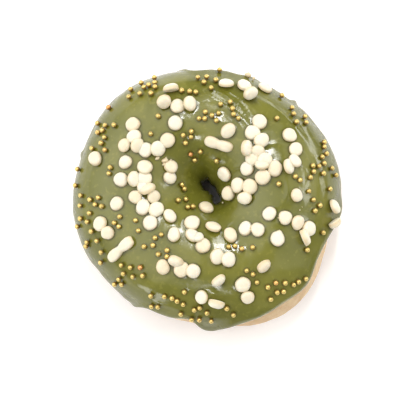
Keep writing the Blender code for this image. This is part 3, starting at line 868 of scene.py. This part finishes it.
def make_crumbs():
    """Cream crumbs in a few small scatters: lumpy balls, the first of each scatter the largest."""
    draw = np.random.default_rng(CRUMB_SEED)
    places, sizes = [], []
    for clock, reach, spread, count, largest in CRUMBS:
        middle = plan_place(np.array(clock), reach)
        for i in range(count):
            x, y = middle + draw.normal(0, spread * MM, 2) * (i > 0)
            point, normal = perch(*clock_and_reach(x, y))
            size = MM * largest / 2 * (draw.uniform(*CRUMB_SIZE_SHARES) if i else 1.0)
            spin = draw.uniform(0, math.tau)
            places.append(standing_on(point, normal, spin, 0, CRUMB_RAISE * size))
            sizes.append(size * draw.uniform(*CRUMB_STRETCHES, 3))
    ball = ball_points(*blob_angles(PEARL_SPIN_STEPS, PEARL_PROFILE_STEPS))
    points = place_all(ball * np.array(sizes)[:, None, None, :], places)
    points = points + lumps(points, CRUMB_LUMPS, WAVE_SEEDS["crumbs"])[..., None]
    piece = blobs_mesh("cream_crumbs", points)
    set_attribute(piece, "tint", np.ones(points.shape[:3]))
    set_attribute(piece, "rim", np.full(points.shape[:3], CRUMB_RIM))
    close_poles(piece)
    return piece


class Wire:
    """An output of a material's nodes, used in sums and products as if it were a number."""

    def __init__(self, finish, socket):
        self.finish = finish
        self.socket = socket

    def math(self, operation, first, second):
        return self.finish.add("ShaderNodeMath", {"operation": operation}, {0: first, 1: second})

    def __add__(self, other):
        return self.math("ADD", self, other)

    def __radd__(self, other):
        return self.math("ADD", other, self)

    def __sub__(self, other):
        return self.math("SUBTRACT", self, other)

    def __rsub__(self, other):
        return self.math("SUBTRACT", other, self)

    def __mul__(self, other):
        return self.math("MULTIPLY", self, other)

    def __rmul__(self, other):
        return self.math("MULTIPLY", other, self)

    def __pow__(self, other):
        return self.math("POWER", self, other)


class Finish:
    """A material. add() makes any node from its type, its settings, and its sockets' values or
    wires, and the other methods are short forms of it."""

    def __init__(self, name):
        self.material = bpy.data.materials.new(name)
        self.material.use_nodes = True
        self.tree = self.material.node_tree
        self.shader = self.tree.nodes["Principled BSDF"]

    def add(self, kind, settings, sockets, output=0):
        node = self.tree.nodes.new(kind)
        for name, value in settings.items():
            setattr(node, name, value)
        self.fill(node, sockets)
        return Wire(self, node.outputs[output])

    def fill(self, node, sockets):
        for name, value in sockets.items():
            if isinstance(value, Wire):
                self.tree.links.new(value.socket, node.inputs[name])
            else:
                node.inputs[name].default_value = value

    def place(self):
        return self.add("ShaderNodeTexCoord", {}, {}, "Object")

    def attribute(self, name, output="Fac"):
        return self.add("ShaderNodeAttribute", {"attribute_name": name}, {}, output)

    def noise(self, size, detail=2.0, roughness=0.5, distortion=0.0, place=None):
        sockets = {
            "Vector": place or self.place(),
            "Scale": 1 / size,
            "Detail": detail,
            "Roughness": roughness,
            "Distortion": distortion,
        }
        return self.add("ShaderNodeTexNoise", {}, sockets, "Fac")

    def cells(self, size):
        sockets = {"Vector": self.place(), "Scale": 1 / size}
        return self.add("ShaderNodeTexVoronoi", {}, sockets, "Distance")

    def ramp(self, value, low, high):
        """0 below low, 1 above high, smooth between."""
        settings = {"interpolation_type": "SMOOTHSTEP"}
        return self.add("ShaderNodeMapRange", settings, {"Value": value, "From Min": low, "From Max": high})

    def mix(self, factor, first, second):
        """A colour between two colours."""
        settings = {"data_type": "RGBA"}
        first = first if isinstance(first, Wire) else (*linear(first), 1)
        second = second if isinstance(second, Wire) else (*linear(second), 1)
        return self.add("ShaderNodeMix", settings, {"Factor": factor, 6: first, 7: second}, 2)

    def bump(self, height, distance):
        return self.add("ShaderNodeBump", {}, {"Height": height, "Distance": distance, "Strength": 1.0})


def linear(colour):
    """Linear light from an sRGB colour of 0 to 255."""
    shares = np.array(colour) / 255
    light = np.where(shares <= 0.04045, shares / 12.92, ((shares + 0.055) / 1.055) ** 2.4)
    return tuple(light.tolist())


def glaze_finish():
    """Moss green glaze: clouded in broad patches and finely specked, with painted shade in the hole,
    round the toppings and down its steep side, glossy with duller patches, and grooved along the
    wrinkles."""
    finish = Finish("green_glaze")
    cloud = finish.noise(19 * MM, detail=3.0)
    patch = finish.noise(7 * MM, distortion=0.6)
    grain = finish.noise(0.9 * MM)
    speck = finish.noise(1.4 * MM, detail=1.0)
    steep = finish.attribute("steep")
    colour = finish.mix(finish.ramp(cloud, 0.38, 0.64), GLAZE_DEEP, GLAZE_GREEN)
    colour = finish.mix(finish.ramp(patch, 0.52, 0.78) * 0.5, colour, GLAZE_PALE)
    colour = finish.mix(finish.ramp(grain, 0.55, 0.85) * 0.2, colour, GLAZE_DEEP)
    colour = finish.mix(finish.ramp(speck, 0.58, 0.72) * 0.35, colour, GLAZE_LIGHT)
    # Painted shade down the steep side, where less light falls on the glaze
    colour = finish.mix(steep * 0.65, colour, GLAZE_SIDE_SHADE)
    # Painted shade: darker round each topping and down in the hole, where the glaze lies in shade
    shade = finish.attribute("beside") * 0.65 + finish.attribute("deep") * 0.7
    colour = finish.mix(shade, colour, GLAZE_SHADE)
    dull = finish.ramp(finish.noise(5 * MM, detail=3.0, distortion=0.8), 0.40, 0.68)
    along = finish.attribute("grain", "Vector")
    stretched = finish.add("ShaderNodeVectorMath", {"operation": "MULTIPLY"}, {0: along, 1: (1, 0.05, 1)})
    grooves = (finish.noise(1.5, detail=1.0, place=stretched) - 0.5) * finish.attribute("wrinkled")
    height = finish.noise(3.2 * MM) * 0.25 + grooves * 0.55 + grain * 0.04
    finish.fill(finish.shader, {
        "Base Color": colour,
        "Roughness": 0.11 + dull * 0.11 + steep**3 * 0.2,
        "IOR": 1.48,
        "Coat Weight": 0.25 - steep * 0.25,
        "Subsurface Weight": 0.2,
        "Subsurface Radius": (1.2, 1.2, 0.5),
        "Subsurface Scale": MM,
        "Coat Roughness": 0.05,
        "Normal": finish.bump(height, 0.22 * MM),
    })
    return finish.material


def dough_finish():
    """Fried dough: a pale soft band, golden to brown crust below it, fine wrinkles and pores."""
    finish = Finish("fried_dough")
    crust = finish.attribute("crust")
    mottle = finish.noise(8 * MM, detail=4.0, roughness=0.6)
    freckle = finish.noise(1.6 * MM, detail=3.0, roughness=0.6)
    pores = 1 - finish.ramp(finish.cells(1.1 * MM), 0.05, 0.34)
    wrinkle = finish.noise(2.4 * MM, detail=4.0, roughness=0.6, distortion=1.2)
    pale = finish.mix(finish.ramp(mottle, 0.35, 0.68), DOUGH_PALE, DOUGH_CREAM)
    brown = finish.mix(finish.ramp(mottle + freckle * 0.35, 0.42, 1.0), DOUGH_GOLD, DOUGH_BROWN)
    browned = finish.ramp(crust + (freckle - 0.5) * 0.5, 0.15, 0.85)
    colour = finish.mix(browned, pale, brown)
    colour = finish.mix(pores * 0.22, colour, DOUGH_GOLD)
    height = wrinkle * 0.9 + freckle * 0.35 - pores * 0.35
    finish.fill(finish.shader, {
        "Base Color": colour,
        "Roughness": 0.62 + mottle * 0.2,
        "IOR": 1.4,
        "Subsurface Weight": 0.12,
        "Subsurface Radius": (2.2, 1.2, 0.6),
        "Subsurface Scale": MM,
        "Normal": finish.bump(height, 0.28 * MM),
    })
    return finish.material


def button_finish():
    """White chocolate: cream to ivory by piece, faintly clouded, with tan painted shade along a
    button's edge and a crumb's own tan all over, satin.
    """
    finish = Finish("cream_button")
    tint = finish.attribute("tint")
    cloud = finish.noise(2.2 * MM)
    colour = finish.mix(finish.ramp(tint * 0.7 + cloud * 0.5, 0.35, 0.95), BUTTON_CREAM, BUTTON_IVORY)
    # Painted shade: tan along each button's edge; the crumbs take part of this tan all over as their own
    # colour
    colour = finish.mix(finish.attribute("rim") * 0.8, colour, BUTTON_EDGE_SHADE_AND_CRUMB_TAN)
    height = finish.noise(1.3 * MM) + finish.noise(0.35 * MM, detail=1.0) * 0.15
    finish.fill(finish.shader, {
        "Base Color": colour,
        "Roughness": 0.40 + cloud * 0.15,
        "IOR": 1.45,
        "Subsurface Weight": 0.25,
        "Subsurface Radius": (1.4, 1.0, 0.7),
        "Subsurface Scale": MM,
        "Normal": finish.bump(height, 0.10 * MM),
    })
    return finish.material


def pearl_finish():
    """Gold lustre sugar: gold to copper by piece, with painted shade and a painted reflection of the
    dark glaze below, and a worn, grainy sheen.
    """
    finish = Finish("gold_pearl")
    tint = finish.attribute("tint")
    grain = finish.noise(0.5 * MM)
    colour = finish.mix(finish.ramp(grain, 0.45, 0.75) * 0.5, PEARL_GOLD, PEARL_DARK)
    colour = finish.mix(finish.ramp(tint, 0.94, 0.98) * 0.8, colour, PEARL_COPPER)
    # Painted shade and painted reflection of the dark glaze, darker towards the pearl's bottom
    colour = finish.mix(finish.attribute("rim") * 0.8, colour, PEARL_UNDER_SHADE)
    finish.fill(finish.shader, {
        "Base Color": colour,
        "Roughness": 0.22 + grain * 0.2,
        "Metallic": 0.8,
        "IOR": 1.5,
        "Normal": finish.bump(grain, 0.05 * MM),
    })
    return finish.material


def floor_finish():
    """A plain white studio floor with the faintest unevenness and a faint glow beyond the
    doughnut's outline, so that its shadow stays pale and its hole dark."""
    finish = Finish("studio_floor")
    colour = finish.mix(finish.noise(0.4), FLOOR_WHITE, FLOOR_WHITER)
    start, end = FLOOR_GLOW_REACHES
    away = finish.add("ShaderNodeVectorMath", {"operation": "LENGTH"}, {0: finish.place()}, "Value")
    glow = finish.mix(finish.ramp(away, start * DOUGHNUT_WIDTH, end * DOUGHNUT_WIDTH), BLACK, WHITE)
    finish.fill(finish.shader, {
        "Base Color": colour,
        "Roughness": 0.7,
        "Emission Color": glow,
        "Emission Strength": FLOOR_GLOW,
    })
    return finish.material


def coat(piece, material):
    """Gives a piece its finish."""
    piece.data.materials.clear()
    piece.data.materials.append(material)


def dress():
    """Makes every piece, says what each replaces and follows, and which finish it takes."""
    buttons = button_places()
    pearls = [pearl for pearl in pearl_places(buttons) if not meets_long_button(pearl, buttons)]
    cream = button_finish()
    dressed = (
        (make_dough(), dough_finish(), "dough", "dough"),
        (make_glaze(buttons, pearls), glaze_finish(), "glaze", "glaze"),
        (make_buttons(buttons), cream, "button", None),
        (make_pearls(pearls), pearl_finish(), "pearl", None),
        (make_crumbs(), cream, "button", None),
    )
    for piece, material, slot, node in dressed:
        coat(piece, material)
        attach(piece, "root")
        if node:
            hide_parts(node)


def lay_floor():
    """A wide floor that the doughnut rests on."""
    bpy.ops.mesh.primitive_plane_add(size=FLOOR_SIZE, location=(0, 0, 0))
    floor = bpy.context.active_object
    floor.name = "studio_floor"
    coat(floor, floor_finish())


def photo_axes():
    """The photograph's right and up as directions in the frame, and the way towards the camera."""
    turn, tilt = math.radians(PHOTO_TURN), math.radians(CAMERA_TILT)
    level = Vector((1, 0, 0))
    raised = Vector((0, math.cos(tilt), math.sin(tilt)))
    right = math.cos(turn) * level - math.sin(turn) * raised
    up = math.sin(turn) * level + math.cos(turn) * raised
    return right, up, right.cross(up)


def add_camera():
    """The camera looks down at the photograph's tilt, rolled to its turn, aimed so that the
    doughnut's outline is centred on its own pixel."""
    right, up, back = photo_axes()
    pixel = DOUGHNUT_WIDTH / DOUGHNUT_PIXELS
    centre = Vector((OUTLINE_CENTRE[0] * MM, OUTLINE_CENTRE[1] * MM, PROOF_LINE_HEIGHT))
    across = (OUTLINE_PIXEL[0] - PHOTO_WIDTH / 2) * pixel
    down = (OUTLINE_PIXEL[1] - PHOTO_WIDTH / 2) * pixel
    aim = centre - right * across + up * down
    data = bpy.data.cameras.new("photo_camera")
    data.lens = CAMERA_LENS
    data.sensor_width = CAMERA_SENSOR
    data.clip_start = CAMERA_NEAREST
    camera = bpy.data.objects.new("photo_camera", data)
    facing = Matrix((right, up, back)).transposed().to_4x4()
    camera.matrix_world = Matrix.Translation(aim + back * CAMERA_DISTANCE) @ facing
    bpy.context.scene.collection.objects.link(camera)
    bpy.context.scene.camera = camera


def towards(photo_angle, from_zenith):
    """The unit direction at an angle of the photograph, so far from straight up."""
    clock = math.radians(photo_angle - PHOTO_TURN)
    slant = math.radians(from_zenith)
    return Vector((math.sin(slant) * math.cos(clock), math.sin(slant) * math.sin(clock), math.cos(slant)))


def add_lights():
    """Soft boxes round the doughnut, each stretched between two directions and facing it, and an
    even white surround."""
    for name, first, second, width, brightness in SOFTBOXES:
        one, other = towards(*first), towards(*second)
        middle = (one + other).normalized()
        side = (one - other).normalized()
        data = bpy.data.lights.new(name, "AREA")
        data.shape = "RECTANGLE"
        data.size = 2 * BOX_DISTANCE * math.tan(one.angle(other) / 2)
        data.size_y = 2 * BOX_DISTANCE * math.tan(math.radians(width) / 2)
        data.spread = math.radians(BOX_SPREAD)
        dimming = 1 - data.spread / 2 / math.tan(data.spread / 2)
        data.energy = brightness * dimming * math.pi * data.size * data.size_y
        box = bpy.data.objects.new(name, data)
        facing = Matrix((side, middle.cross(side), middle)).transposed().to_4x4()
        box.matrix_world = Matrix.Translation(middle * BOX_DISTANCE) @ facing
        bpy.context.scene.collection.objects.link(box)
    world = bpy.data.worlds.new("studio")
    world.use_nodes = True
    surround = world.node_tree.nodes["Background"]
    surround.inputs["Color"].default_value = (1, 1, 1, 1)
    surround.inputs["Strength"].default_value = WORLD_STRENGTH
    bpy.context.scene.world = world
    bpy.context.scene.view_settings.view_transform = "Standard"


dress()
lay_floor()
add_camera()
add_lights()
